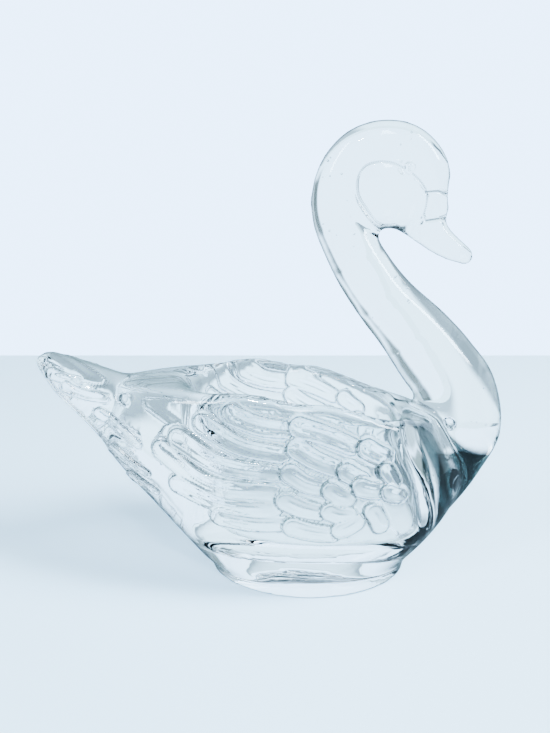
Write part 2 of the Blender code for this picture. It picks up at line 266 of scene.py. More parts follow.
def makeHollow():  # what the plunger leaves: the hollow of the bowl, open through the back
    form = swanForm
    mesh = bmesh.new()
    high, floor, corner = form["bodyLevels"][-1][0], form["floor"], form["cavityCorner"]
    turn = circle(form["ringPoints"])
    cos, sin = np.cos(turn), np.sin(turn)
    rearPower, frontPower = (2 / square for square in form["hollowSquareness"])
    power = rearPower + (frontPower - rearPower) * smoothStep(0.5 + cos)
    lip = high - floor - form["lipBevel"]
    depths = np.concatenate([
        corner * (1 - np.cos(np.linspace(0, math.pi / 2, 12))),
        np.linspace(corner, lip, 26)[1:],
        [high - floor, high - floor + form["allowance"]],
    ])
    rings = []
    for depth in depths:
        level = floor + depth
        rear, front = across(form["hollowEnds"], level)[0]
        half = across(form["bodyLevels"], level)[0, 2] - form["wall"]
        rise = min(1.0, depth / corner)
        inset = corner * (1 - math.sqrt(1 - (1 - rise) ** 2)) - max(0.0, depth - lip)
        x = (rear + front) / 2 + ((front - rear) / 2 - inset) * np.sign(cos) * np.abs(cos) ** power
        y = (half - inset) * np.sign(sin) * np.abs(sin) ** power
        rim = across(form["rimLine"], x)[:, 0]
        rings.append(np.column_stack([x, y, floor + depth * (rim - floor) / (high - floor)]) * unit)
    lean = form["hollowLean"]
    rings.append(rings[-1] * (lean, lean, 1) + (0, 0, 4 * form["allowance"] * unit))
    addLoft(mesh, rings)
    return objectFrom("hollow", mesh)


# Rows of feathers on each side, from tail to shoulder: how many, then curves through the tips, the middles
# and the roots, the half widths at tip and root, and how far the row stands out
featherRows = [
    dict(count=6, half=(2.1, 1.5), lift=0.0, bead=0.9, rise=0.8,
         tips=[(-78.2, 68.2), (-79.0, 64.6), (-74.0, 60.9), (-64.0, 53.0), (-59.9, 42.3), (-54.4, 34.4)],
         middles=[(-75.0, 67.4), (-75.4, 63.4), (-69.3, 59.0), (-58.3, 49.9), (-55.1, 39.7), (-51.0, 32.8)],
         roots=[(-70.4, 66.8), (-70.7, 62.4), (-62.2, 57.6), (-51.1, 45.8), (-48.7, 37.0), (-46.4, 31.0)]),
    dict(count=6, half=(3.6, 2.9), lift=0.0, bead=1.0, rise=1.0,
         tips=[(-22.8, 57.3), (-31.0, 54.2), (-38.2, 49.4), (-43.2, 45.6), (-38.4, 35.8), (-26.3, 27.3)],
         middles=[(-15.5, 54.6), (-21.0, 49.0), (-27.2, 43.6), (-31.3, 37.6), (-26.1, 31.2), (-18.1, 26.2)],
         roots=[(-7.0, 53.4), (-8.8, 46.6), (-11.2, 41.2), (-11.2, 35.8), (-10.9, 31.2), (-8.2, 26.6)]),
    dict(count=5, half=(3.6, 3.0), lift=0.3, bead=1.0, rise=1.0,
         tips=[(-4.0, 54.3), (-4.6, 48.6), (-6.4, 41.6), (-7.6, 33.7), (-5.6, 25.7)],
         middles=[(2.7, 52.2), (-0.1, 45.6), (-2.1, 38.8), (-3.9, 31.8), (-0.8, 24.2)],
         roots=[(10.7, 48.6), (5.8, 43.0), (4.0, 37.2), (1.6, 30.2), (5.4, 23.2)]),
    dict(count=4, half=(3.2, 2.9), lift=0.5, bead=0.9, rise=1.0,
         tips=[(9.1, 41.7), (4.9, 36.5), (4.6, 30.4), (7.8, 24.7)],
         middles=[(11.0, 40.5), (7.0, 34.9), (7.0, 29.3), (9.9, 25.4)],
         roots=[(13.4, 39.3), (9.4, 33.9), (9.9, 28.9), (12.1, 26.6)]),
    dict(count=3, half=(3.3, 3.0), lift=0.7, bead=0.8, rise=1.0,
         tips=[(14.9, 47.8), (13.3, 37.1), (17.0, 29.6)], middles=[(17.3, 46.2), (15.6, 36.2), (18.1, 27.6)],
         roots=[(20.0, 44.8), (18.3, 35.6), (19.2, 25.0)]),
    dict(count=2, half=(2.8, 2.6), lift=0.9, bead=0.6, rise=1.0,
         tips=[(20.4, 41.0), (21.4, 34.8)], middles=[(21.6, 39.4), (22.8, 34.0)], roots=[(22.8, 37.4), (24.8, 33.4)]),
]

# the carving's sizes, in millimetres or as shares
carving = dict(
    featherDepth=1.6,
    flatShare=0.62,
    rootFlat=0.55,
    tipFlat=0.25,
    beadHeight=0.55,
    beadPlace=0.78,
    beadWidth=0.13,
    quillDepth=0.3,
    quillWidth=0.45,
    coveredShare=0.35,
    layerShare=0.85,
    liftShare=0.3,
    cheekGrooveDepth=1.0,
    cheekGrooveWidth=0.65,
    tailBeadHeight=0.55,
    tailBeadWidth=0.6,
    tailBeadInset=2.0,
    tailBeads=[(0, 1.0), (1.9, 0.6)],  # further inset, share of the width
    tailBeadWay=(0.62, 0.78),
    tailBeadStart=0.3,
    tailEdge=2.2,
    tailEdgeFade=1.8,
    sideTop=74.0,
    sideFront=34.0,
    headFrom=100.0,
    facingStart=0.3,
    facingFade=0.35,
    # painted shade in the creases: how steep the carving must be before the glass is painted dark there
    slopeStep=0.15,
    creaseShadeStart=0.35,
    creaseShadeEnd=1.5,
    headCreaseShadeStart=0.45,
    headCreaseShadeEnd=0.85,
    knobCreaseWidth=0.6,
    knobCreaseShare=0.9,
    eyePlace=(28.5, 125.5),
    eyeRadius=1.6,
    eyeHeight=0.7,
    eyeRing=(0.35, 1.25, 0.2),  # depth share, place and width in eye radii
    cheekLine=[
        (28.1, 106.9), (24.9, 108.9), (20.6, 109.2), (16.2, 113.6), (13.4, 118.6), (13.5, 123.0), (15.5, 126.1),
        (18.7, 127.2), (23.5, 126.9), (27.4, 125.0), (30.8, 122.7), (34.1, 118.1), (34.2, 116.3), (33.7, 111.9),
    ],
    knobLines=[[(33.6, 118.6), (37.5, 118.9), (42.4, 117.6)], [(34.4, 110.4), (38.0, 110.9), (42.4, 111.4)]],
)


def gapTo(line, x, z):  # the distance to a line's nearest point, and which point it is
    gap = np.hypot(x[:, None] - line[:, 0], z[:, None] - line[:, 1])
    nearest = gap.argmin(axis=1)
    return gap[np.arange(len(x)), nearest], nearest / (len(line) - 1)


def featherHeight(x, z):  # how far the feathers stand out from the side, in millimetres
    look = carving
    height = np.zeros(len(x))
    for row in featherRows:
        count = row["count"]
        layer = np.zeros(len(x))
        for points in zip(spread(row["roots"], count), spread(row["middles"], count), spread(row["tips"], count)):
            near, share = gapTo(along(points, 40), x, z)
            half = row["half"][1] + (row["half"][0] - row["half"][1]) * share
            u = near / half
            flat = smoothStep((1 - u) / (1 - look["flatShare"])) * (look["rootFlat"] + look["tipFlat"] * share)
            rim = np.exp(-(((u - look["beadPlace"]) / look["beadWidth"]) ** 2))
            bead = look["beadHeight"] * row["bead"] * rim * (0.5 + 0.5 * share)
            quill = np.exp(-((near / look["quillWidth"]) ** 2)) * np.sin(math.pi * np.clip(share, 0.02, 0.98)) ** 0.5
            made = np.where(u < 1, flat + bead - look["quillDepth"] * row["bead"] * quill, 0)
            layer = np.where((u < 1) & (made > layer), made, layer)
        inside = layer > 0
        under = height[inside] * look["coveredShare"]
        over = layer[inside] * look["layerShare"] * row["rise"] + row["lift"] * look["liftShare"]
        height[inside] = np.maximum(under, over)
    return height * look["featherDepth"]


def tailBead(x, z):  # the raised lines that follow the tail's underside, in millimetres
    form, look = swanForm, carving
    rows = along(form["tailStations"], 60)
    height = np.zeros(len(x))
    for inset, width in look["tailBeads"]:
        line = rows[:, :2] + np.array(look["tailBeadWay"]) * (look["tailBeadInset"] + inset)
        near, share = gapTo(line, x, z)
        fade = smoothStep(share / look["tailBeadStart"])
        height += look["tailBeadHeight"] * np.exp(-((near / (look["tailBeadWidth"] * width)) ** 2)) * fade
    return height


def headRelief(x, z):  # the crease round the cheek, the creases by the bill's knob and the eye
    look = carving
    near = gapTo(along(look["cheekLine"], 110), x, z)[0]
    groove = np.exp(-((near / (look["cheekGrooveWidth"] / 2)) ** 2))
    for knobLine in look["knobLines"]:
        near = gapTo(along(knobLine, 20), x, z)[0]
        knob = look["knobCreaseShare"] * np.exp(-((near / look["knobCreaseWidth"]) ** 2))
        groove = np.maximum(groove, knob)
    eye = np.hypot(x - look["eyePlace"][0], z - look["eyePlace"][1]) / look["eyeRadius"]
    button = look["eyeHeight"] * np.sqrt(np.clip(1 - eye**2, 0, 1))
    share, middle, width = look["eyeRing"]
    ring = share * np.exp(-(((eye - middle) / width) ** 2))
    return np.where(eye < 1, button, -look["cheekGrooveDepth"] * np.maximum(groove, ring))


def reliefAt(place, facing):  # how far each point moves out along its normal, in millimetres
    x, z = place[:, 0] / unit, place[:, 2] / unit
    form, look = swanForm, carving
    outward = smoothStep((facing[:, 1] * np.sign(place[:, 1]) - look["facingStart"]) / look["facingFade"])
    move = np.zeros(len(x))
    side = (outward > 0) & (z < look["sideTop"]) & (z > form["bodyLevels"][0][0]) & (x < look["sideFront"])
    tail = np.array(form["tailStations"])[:, [0, 2]]
    below = np.interp(-x[side], -tail[:, 0], tail[:, 1]) - look["tailEdge"] - z[side]
    fade = np.where(x[side] < tail[1, 0], smoothStep(below / look["tailEdgeFade"]), 1)
    move[side] = (featherHeight(x[side], z[side]) + tailBead(x[side], z[side])) * fade
    head = (outward > 0) & (z > look["headFrom"])
    move[head] = headRelief(x[head], z[head])
    return move * outward


def carve(obj):
    mesh = obj.data
    place, facing = readArray(mesh.vertices, "co"), readArray(mesh.vertices, "normal")
    place += facing * (reliefAt(place, facing) * unit)[:, None]
    mesh.vertices.foreach_set("co", place.ravel())
    mesh.update()


def markCreaseShade(obj):  # keeps how steep the carving is at each point, where the glass gets painted shade
    look, mesh = carving, obj.data
    step = look["slopeStep"] * unit
    place, facing = readArray(mesh.vertices, "co"), readArray(mesh.vertices, "normal")
    slopes = [
        reliefAt(place + shift, facing) - reliefAt(place - shift, facing)
        for shift in (np.array([step, 0, 0]), np.array([0, 0, step]))
    ]
    steepness = np.hypot(*slopes) / (2 * step / unit)
    shade = smoothStep((steepness - look["creaseShadeStart"]) / (look["creaseShadeEnd"] - look["creaseShadeStart"]))
    head = place[:, 2] > look["headFrom"] * unit  # on the head only the bottom of each crease gets painted shade
    sunk = -reliefAt(place[head], facing[head]) / look["cheekGrooveDepth"]
    start, end = look["headCreaseShadeStart"], look["headCreaseShadeEnd"]
    shade[head] = smoothStep((sunk - start) / (end - start))
    made = mesh.attributes.new("creaseShade", "FLOAT", "POINT")
    made.data.foreach_set("value", shade.astype(np.float32))


def refine(obj, steepest, lowest):  # finer mesh where the carving rises or falls by more than this across a face
    mesh = obj.data
    relief = reliefAt(readArray(mesh.vertices, "co"), readArray(mesh.vertices, "normal"))
    fine = bmesh.new()
    fine.from_mesh(mesh)
    edges = set()
    for face in fine.faces:
        values = [relief[vert.index] for vert in face.verts]
        if max(values) - min(values) > steepest and face.verts[0].co.z > lowest * unit:
            edges.update(face.edges)
    bmesh.ops.subdivide_edges(fine, edges=list(edges), cuts=1, use_grid_fill=True)
    fine.to_mesh(mesh)
    fine.free()


def groundFlat(obj):  # cuts the foot off flat and closes it
    mesh = bmesh.new()
    mesh.from_mesh(obj.data)
    cut = bmesh.ops.bisect_plane(
        mesh, geom=mesh.verts[:] + mesh.edges[:] + mesh.faces[:], dist=1e-6, plane_co=(0, 0, 0), plane_no=(0, 0, -1),
        clear_outer=True,
    )
    edges = [item for item in cut["geom_cut"] if isinstance(item, bmesh.types.BMEdge)]
    fill = bmesh.ops.contextual_create(mesh, geom=edges)["faces"]
    bmesh.ops.triangulate(mesh, faces=fill)
    bmesh.ops.recalc_face_normals(mesh, faces=mesh.faces)
    mesh.to_mesh(obj.data)
    mesh.free()


def makeSwan():
    mesh = bmesh.new()
    addBody(mesh)
    addTail(mesh)
    addTube(mesh, swanForm["neckSections"], 130)
    addTube(mesh, swanForm["billSections"], 22)
    addLobe(mesh, swanForm["cheekLobe"])
    addLobe(mesh, swanForm["billKnob"])
    swan = objectFrom("glassSwan", mesh)
    hollow = makeHollow()
    voxel = swanForm["voxel"] * unit
    addModifier(swan, "REMESH", "fuse", mode="VOXEL", voxel_size=voxel)
    addModifier(swan, "BOOLEAN", "hollow", operation="DIFFERENCE", object=hollow)
    addModifier(swan, "REMESH", "fuseAgain", mode="VOXEL", voxel_size=voxel)
    addModifier(swan, "SMOOTH", "melt", factor=0.5, iterations=swanForm["meltPasses"])
    bake(swan)
    bpy.data.objects.remove(hollow)
    print("swan fused:", len(swan.data.polygons), "faces")
    for steepest, lowest in swanForm["refineSteps"]:
        refine(swan, steepest, lowest)
        addModifier(swan, "SMOOTH", "even", factor=0.5, iterations=2)
        bake(swan)
        print("swan refined:", len(swan.data.polygons), "faces")
    carve(swan)
    addModifier(swan, "SMOOTH", "soften", factor=0.5, iterations=swanForm["carvePasses"])
    bake(swan)
    groundFlat(swan)
    markCreaseShade(swan)
    swan.data.shade_smooth()
    swan.data.calc_loop_triangles()
    print("swan carved:", len(swan.data.loop_triangles), "triangles")
    return swan


glassLooks = dict(
    colour=(0.86, 0.905, 0.92, 1.0),
    # painted shade: the glass is darkened towards its edges, where the surface turns away from view
    edgeShadeColour=(0.05, 0.07, 0.065, 1.0),
    edgeShadeStart=0.55,
    edgeShadeEnd=0.85,
    ior=1.5,
    roughness=0.0,
    rippleScale=150.0,
    rippleDetail=1.5,
    rippleStrength=0.05,
    rippleDepth=0.001,
    # painted shade: the near black colour painted on the breast
    breastShadeColour=(0.0005, 0.0016, 0.0016, 1.0),
    # painted shade: the dark tint laid along the steep sides of the carving
    creaseShadeColour=(0.028, 0.038, 0.036, 1.0),
)

# painted shade: the solid breast under the neck, where the glass is thickest, is painted dark in place of the dark
# room it mirrors, in metres
paintedBreastShade = dict(
    rear=0.0370, top=0.0366, topLean=0.34, soft=0.0012, waver=0.0030, waverScale=110.0,
    sideStart=0.34, sideEnd=0.62,
)


def addNode(tree, kind, place=(0, 0), **settings):
    made = tree.nodes.new(kind)
    made.location = place
    for key, value in settings.items():
        setattr(made, key, value)
    return made


def joinAll(tree, links):
    for start, end in links:
        tree.links.new(start, end)


def paintedBreastShadeGroup():  # a mask of painted shade on the breast's two flanks, with a wavering border
    breastShade = paintedBreastShade
    group = bpy.data.node_groups.new("paintedBreastShade", "ShaderNodeTree")
    group.interface.new_socket("Place", in_out="INPUT", socket_type="NodeSocketVector")
    group.interface.new_socket("Outward", in_out="INPUT", socket_type="NodeSocketVector")
    group.interface.new_socket("Mask", in_out="OUTPUT", socket_type="NodeSocketFloat")
    given, result = addNode(group, "NodeGroupInput", (-1600, 0)), addNode(group, "NodeGroupOutput", (600, 0))
    noise = addNode(group, "ShaderNodeTexNoise", (-1400, -300))
    noise.inputs["Scale"].default_value = breastShade["waverScale"]
    centred = addNode(group, "ShaderNodeVectorMath", (-1200, -300), operation="SUBTRACT")
    centred.inputs[1].default_value = (0.5, 0.5, 0.5)
    moved = addNode(group, "ShaderNodeVectorMath", (-1000, 0), operation="MULTIPLY_ADD")
    moved.inputs[1].default_value = (breastShade["waver"],) * 3
    parts = addNode(group, "ShaderNodeSeparateXYZ", (-800, 0))
    side = addNode(group, "ShaderNodeMath", (-600, -200), operation="ABSOLUTE")
    lean = addNode(group, "ShaderNodeMath", (-400, -200), operation="MULTIPLY_ADD")
    lean.inputs[1].default_value = -breastShade["topLean"]
    ahead = addNode(group, "ShaderNodeMapRange", (-200, 200), interpolation_type="SMOOTHSTEP")
    ahead.inputs["From Min"].default_value = breastShade["rear"] - breastShade["soft"]
    ahead.inputs["From Max"].default_value = breastShade["rear"] + breastShade["soft"]
    below = addNode(group, "ShaderNodeMapRange", (-200, -100), interpolation_type="SMOOTHSTEP")
    below.inputs["From Min"].default_value = breastShade["top"] + breastShade["soft"]
    below.inputs["From Max"].default_value = breastShade["top"] - breastShade["soft"]
    turned = addNode(group, "ShaderNodeSeparateXYZ", (-800, -500))
    aside = addNode(group, "ShaderNodeMath", (-600, -500), operation="ABSOLUTE")
    flank = addNode(group, "ShaderNodeMapRange", (-200, -400), interpolation_type="SMOOTHSTEP")
    flank.inputs["From Min"].default_value = breastShade["sideStart"]
    flank.inputs["From Max"].default_value = breastShade["sideEnd"]
    both = addNode(group, "ShaderNodeMath", (100, 100), operation="MULTIPLY")
    every = addNode(group, "ShaderNodeMath", (300, 0), operation="MULTIPLY")
    joinAll(group, (
        (given.outputs["Place"], noise.inputs["Vector"]), (noise.outputs["Color"], centred.inputs[0]),
        (centred.outputs[0], moved.inputs[0]), (given.outputs["Place"], moved.inputs[2]),
        (moved.outputs[0], parts.inputs[0]), (parts.outputs["Y"], side.inputs[0]), (side.outputs[0], lean.inputs[0]),
        (parts.outputs["Z"], lean.inputs[2]), (parts.outputs["X"], ahead.inputs["Value"]),
        (lean.outputs[0], below.inputs["Value"]), (given.outputs["Outward"], turned.inputs[0]),
        (turned.outputs["Y"], aside.inputs[0]), (aside.outputs[0], flank.inputs["Value"]),
        (ahead.outputs["Result"], both.inputs[0]), (below.outputs["Result"], both.inputs[1]),
        (both.outputs[0], every.inputs[0]), (flank.outputs["Result"], every.inputs[1]),
        (every.outputs[0], result.inputs["Mask"]),
    ))
    return group


def glassMaterial():
    looks = glassLooks
    material = bpy.data.materials.new("clearGlass")
    material.use_nodes = True
    tree = material.node_tree
    shader = tree.nodes["Principled BSDF"]
    shader.inputs["Roughness"].default_value = looks["roughness"]
    shader.inputs["Metallic"].default_value = 0.0
    shader.inputs["IOR"].default_value = looks["ior"]
    shader.inputs["Transmission Weight"].default_value = 1.0
    # painted shade: the glass is tinted dark towards its edges by how its surface faces the view
    facing = addNode(tree, "ShaderNodeLayerWeight", (-900, 100))
    facing.inputs["Blend"].default_value = 0.5
    ramp = addNode(tree, "ShaderNodeValToRGB", (-600, 100))
    ramp.color_ramp.interpolation = "EASE"
    ramp.color_ramp.elements[0].position = looks["edgeShadeStart"]
    ramp.color_ramp.elements[0].color = looks["colour"]
    ramp.color_ramp.elements[1].position = looks["edgeShadeEnd"]
    ramp.color_ramp.elements[1].color = looks["edgeShadeColour"]
    place = addNode(tree, "ShaderNodeTexCoord", (-900, -200))
    # painted shade: the breast mask tints the glass near black
    breastShade = addNode(tree, "ShaderNodeGroup", (-600, 350), node_tree=paintedBreastShadeGroup())
    tint = addNode(tree, "ShaderNodeMix", (-250, 150), data_type="RGBA")
    tint.inputs[7].default_value = looks["breastShadeColour"]
    # painted shade: the crease attribute tints the glass dark in the carving's creases
    creaseShade = addNode(tree, "ShaderNodeAttribute", (-900, 350), attribute_name="creaseShade")
    line = addNode(tree, "ShaderNodeMix", (-420, 150), data_type="RGBA")
    line.inputs[7].default_value = looks["creaseShadeColour"]
    joinAll(tree, (
        (facing.outputs["Facing"], ramp.inputs["Fac"]), (place.outputs["Object"], breastShade.inputs["Place"]),
        (place.outputs["Normal"], breastShade.inputs["Outward"]),
        (creaseShade.outputs["Fac"], line.inputs[0]), (ramp.outputs["Color"], line.inputs[6]),
        (breastShade.outputs["Mask"], tint.inputs[0]), (line.outputs[2], tint.inputs[6]),
        (tint.outputs[2], shader.inputs["Base Color"]),
    ))
    noise = addNode(tree, "ShaderNodeTexNoise", (-600, -200))
    noise.inputs["Scale"].default_value = looks["rippleScale"]
    noise.inputs["Detail"].default_value = looks["rippleDetail"]
    bump = addNode(tree, "ShaderNodeBump", (-300, -200))
    bump.inputs["Strength"].default_value = looks["rippleStrength"]
    bump.inputs["Distance"].default_value = looks["rippleDepth"]
    tree.links.new(place.outputs["Object"], noise.inputs["Vector"])
    tree.links.new(noise.outputs["Fac"], bump.inputs["Height"])
    tree.links.new(bump.outputs["Normal"], shader.inputs["Normal"])
    return material


seedBubbles = dict(
    seed=7, count=34, smallest=0.10, largest=0.34, ior=0.667,  # radii in millimetres
    roundness=3, singleRoundness=4,
    # painted shade: each bubble is darkened towards its edge
    rimShadeStart=0.2, rimShadeEnd=0.55, rimShadeColour=(0.02, 0.05, 0.06, 1),
    # cores inside the solid glass that the bubbles lie on: centre x, z, half sizes along, across, up
    rumpCore=(-55.0, 50.0, 9.0, 8.0, 7.0),
    coreRings=14, corePoints=24, coreReach=0.96,
    neckShare=0.45, neckRings=60,
    # single bubbles: place and radii
    singles=[(43.6, -7.6, 48.6, 2.2, 1.6, 2.3)],
)


def bubbleCore():  # a hidden surface inside the neck and the rump, which carries the bubbles
    look = seedBubbles
    rows = np.array(swanForm["neckSections"])
    middle = (rows[:, 0:2] + rows[:, 2:4]) / 2
    rows[:, 0:2] = middle + (rows[:, 0:2] - middle) * look["neckShare"]
    rows[:, 2:4] = middle + (rows[:, 2:4] - middle) * look["neckShare"]
    rows[:, 4] *= look["neckShare"]
    mesh = bmesh.new()
    addTube(mesh, rows[2:-1].tolist(), look["neckRings"])
    x, z, length, width, height = look["rumpCore"]
    turn = circle(look["corePoints"])
    rings = []
    for share in np.linspace(-look["coreReach"], look["coreReach"], look["coreRings"]):
        cut = math.sqrt(1 - share**2)
        flat = np.full(len(turn), x + length * share)
        ring = [flat, width * cut * np.cos(turn), z + height * cut * np.sin(turn)]
        rings.append(np.column_stack(ring) * unit)
    addLoft(mesh, rings)
    # the faces keep this order, so that each run scatters the same bubbles
    return objectFrom("seedBubbles", mesh, outward=False)


def bubbleNodes(material):  # scatters round bubbles over the core
    group = bpy.data.node_groups.new("seedBubbles", "GeometryNodeTree")
    sockets = {}
    for name, kind in (
        ("Geometry", "Geometry"), ("Density", "Float"), ("Seed", "Int"), ("Smallest", "Float"), ("Largest", "Float"),
        ("Material", "Material"),
    ):
        sockets[name] = group.interface.new_socket(name, in_out="INPUT", socket_type=f"NodeSocket{kind}").identifier
    group.interface.new_socket("Geometry", in_out="OUTPUT", socket_type="NodeSocketGeometry")
    given, result = addNode(group, "NodeGroupInput", (-900, 0)), addNode(group, "NodeGroupOutput", (900, 0))
    scatter = addNode(group, "GeometryNodeDistributePointsOnFaces", (-600, 0))
    ball = addNode(group, "GeometryNodeMeshIcoSphere", (-600, -300))
    ball.inputs["Radius"].default_value = unit
    ball.inputs["Subdivisions"].default_value = seedBubbles["roundness"]
    size = addNode(group, "FunctionNodeRandomValue", (-600, -500), data_type="FLOAT")
    copies = addNode(group, "GeometryNodeInstanceOnPoints", (-200, 0))
    whole = addNode(group, "GeometryNodeRealizeInstances", (100, 0))
    smooth = addNode(group, "GeometryNodeSetShadeSmooth", (300, 0))
    coat = addNode(group, "GeometryNodeSetMaterial", (600, 0))
    joinAll(group, (
        (given.outputs["Geometry"], scatter.inputs["Mesh"]), (given.outputs["Density"], scatter.inputs["Density"]),
        (given.outputs["Seed"], scatter.inputs["Seed"]), (given.outputs["Seed"], size.inputs["Seed"]),
        (given.outputs["Smallest"], size.inputs[2]), (given.outputs["Largest"], size.inputs[3]),
        (scatter.outputs["Points"], copies.inputs["Points"]), (ball.outputs["Mesh"], copies.inputs["Instance"]),
        (size.outputs[1], copies.inputs["Scale"]), (copies.outputs["Instances"], whole.inputs["Geometry"]),
        (whole.outputs["Geometry"], smooth.inputs["Geometry"]), (smooth.outputs["Geometry"], coat.inputs["Geometry"]),
        (given.outputs["Material"], coat.inputs["Material"]), (coat.outputs["Geometry"], result.inputs["Geometry"]),
    ))
    return group, sockets


def makeBubbles():
    look = seedBubbles
    material = bpy.data.materials.new("sealedAir")
    material.use_nodes = True
    shader = material.node_tree.nodes["Principled BSDF"]
    # painted shade: each bubble is tinted dark towards its edge
    facing = addNode(material.node_tree, "ShaderNodeLayerWeight", (-600, 0))
    ramp = addNode(material.node_tree, "ShaderNodeValToRGB", (-350, 0))
    ramp.color_ramp.elements[0].position, ramp.color_ramp.elements[1].position = look["rimShadeStart"], look["rimShadeEnd"]
    ramp.color_ramp.elements[0].color, ramp.color_ramp.elements[1].color = (1, 1, 1, 1), look["rimShadeColour"]
    joinAll(material.node_tree, (
        (facing.outputs["Facing"], ramp.inputs["Fac"]), (ramp.outputs["Color"], shader.inputs["Base Color"]),
    ))
    shader.inputs["Roughness"].default_value = 0.0
    shader.inputs["Metallic"].default_value = 0.0
    shader.inputs["IOR"].default_value = look["ior"]
    shader.inputs["Transmission Weight"].default_value = 1.0
    bubbles = bubbleCore()
    area = sum(face.area for face in bubbles.data.polygons)
    group, sockets = bubbleNodes(material)
    made = addModifier(bubbles, "NODES", "scatter", node_group=group)
    values = {"Density": look["count"] / area, "Seed": look["seed"], "Smallest": look["smallest"],
              "Largest": look["largest"], "Material": material}
    for name, value in values.items():
        made[sockets[name]] = value
    bake(bubbles)
    mesh = bmesh.new()
    mesh.from_mesh(bubbles.data)
    for x, y, z, length, width, height in look["singles"]:
        matrix = Matrix.Translation((x * unit, y * unit, z * unit)) @ Matrix.Diagonal(
            (length * unit, width * unit, height * unit, 1))
        bmesh.ops.create_icosphere(mesh, subdivisions=look["singleRoundness"], radius=1, matrix=matrix)
    for face in mesh.faces:
        face.material_index = 0
    bmesh.ops.recalc_face_normals(mesh, faces=mesh.faces)
    mesh.to_mesh(bubbles.data)
    mesh.free()
    bubbles.data.materials.clear()  # the scatter leaves an empty slot, which the single bubbles would take
    bubbles.data.materials.append(material)
    bubbles.data.shade_smooth()
    print("bubbles:", len(bubbles.data.polygons), "triangles")
    return bubbles


stageSizes = dict(
    floorHalf=0.365, floorThick=0.02, floorDrop=0.0004, floorRoughness=0.6,
    floorColour=(0.43, 0.68, 0.87, 1), floorGlow=1.5, castGlow=4.0,
)

# the floor's light and shade where only the glass shows it: dim behind the foot, bright further back, dark
# at the far left and on the right
castLight = dict(
    foot=(0.0, 0.085, 1.1, 0.20), back=(0.110, 0.145, 0.0, 0.95), right=(0.10, 0.14, 1.0, 0.30),
    corner=(0.05, 0.09, 1.0, 0.12), cornerStart=0.27, seen=0.76, reflected=0.05,
)

roomLooks = dict(
    seenDirectly=(3.4, 5.6, 8.8, 1),
    horizon=(3.2, 5.0, 6.8, 1),
    reflected=(0.4, 0.62, 0.76, 1),
    zenith=(0.10, 0.15, 0.18, 1),
    domeStart=0.68,
    domeEnd=0.88,
    # soft panels round the room: azimuth from +Y towards +X, lowest and highest elevation, half width,
    # softness, colour
    panels=[
        dict(azimuth=180, low=-30, high=120, half=104, soft=10, colour=(0.06, 0.10, 0.12, 1)),
        dict(azimuth=46, low=-10, high=10, half=8, soft=3, colour=(0.25, 0.38, 0.42, 1)),
        dict(azimuth=68, low=-10, high=12, half=13, soft=3, colour=(1.1, 1.7, 2.1, 1)),
        dict(azimuth=62, low=14, high=25, half=21, soft=2, colour=(0.55, 0.85, 0.95, 1)),
        dict(azimuth=108, low=22, high=54, half=5.5, soft=1, colour=(48.0, 64.0, 80.0, 1)),
        dict(azimuth=-128, low=26, high=54, half=5, soft=1, colour=(34.0, 44.0, 54.0, 1)),
        dict(azimuth=172, low=36, high=60, half=5, soft=1, colour=(30.0, 39.0, 48.0, 1)),
    ],
)


def castLightGroup():  # how bright the floor is at each place, where only the glass shows it
    cast = castLight
    group = bpy.data.node_groups.new("castLight", "ShaderNodeTree")
    group.interface.new_socket("Place", in_out="INPUT", socket_type="NodeSocketVector")
    group.interface.new_socket("Shade", in_out="OUTPUT", socket_type="NodeSocketFloat")
    given, result = addNode(group, "NodeGroupInput", (-1500, 0)), addNode(group, "NodeGroupOutput", (700, 0))
    parts = addNode(group, "ShaderNodeSeparateXYZ", (-1200, 0))
    left = addNode(group, "ShaderNodeMath", (-1000, -300), operation="MULTIPLY")
    left.inputs[1].default_value = -1.0
    eases = {}
    for index, name in enumerate(("foot", "back", "right", "corner")):
        ease = addNode(group, "ShaderNodeMapRange", (-700, 300 - 250 * index), interpolation_type="SMOOTHSTEP")
        for socket, value in zip(("From Min", "From Max", "To Min", "To Max"), cast[name]):
            ease.inputs[socket].default_value = value
        eases[name] = ease
    far = addNode(group, "ShaderNodeMath", (-700, -700), operation="GREATER_THAN")
    far.inputs[1].default_value = cast["cornerStart"]
    both = addNode(group, "ShaderNodeMath", (-400, 200), operation="ADD")
    sided = addNode(group, "ShaderNodeMath", (-200, 100), operation="MULTIPLY")
    mix = addNode(group, "ShaderNodeMix", (200, 0), data_type="FLOAT")
    joinAll(group, (
        (given.outputs["Place"], parts.inputs[0]), (parts.outputs["X"], left.inputs[0]),
        (parts.outputs["Y"], eases["foot"].inputs["Value"]), (parts.outputs["Y"], eases["back"].inputs["Value"]),
        (parts.outputs["X"], eases["right"].inputs["Value"]), (left.outputs[0], eases["corner"].inputs["Value"]),
        (parts.outputs["Y"], far.inputs[0]), (eases["foot"].outputs["Result"], both.inputs[0]),
        (eases["back"].outputs["Result"], both.inputs[1]), (both.outputs[0], sided.inputs[0]),
        (eases["right"].outputs["Result"], sided.inputs[1]), (far.outputs[0], mix.inputs[0]),
        (sided.outputs[0], mix.inputs[2]), (eases["corner"].outputs["Result"], mix.inputs[3]),
        (mix.outputs[0], result.inputs["Shade"]),
    ))
    return group


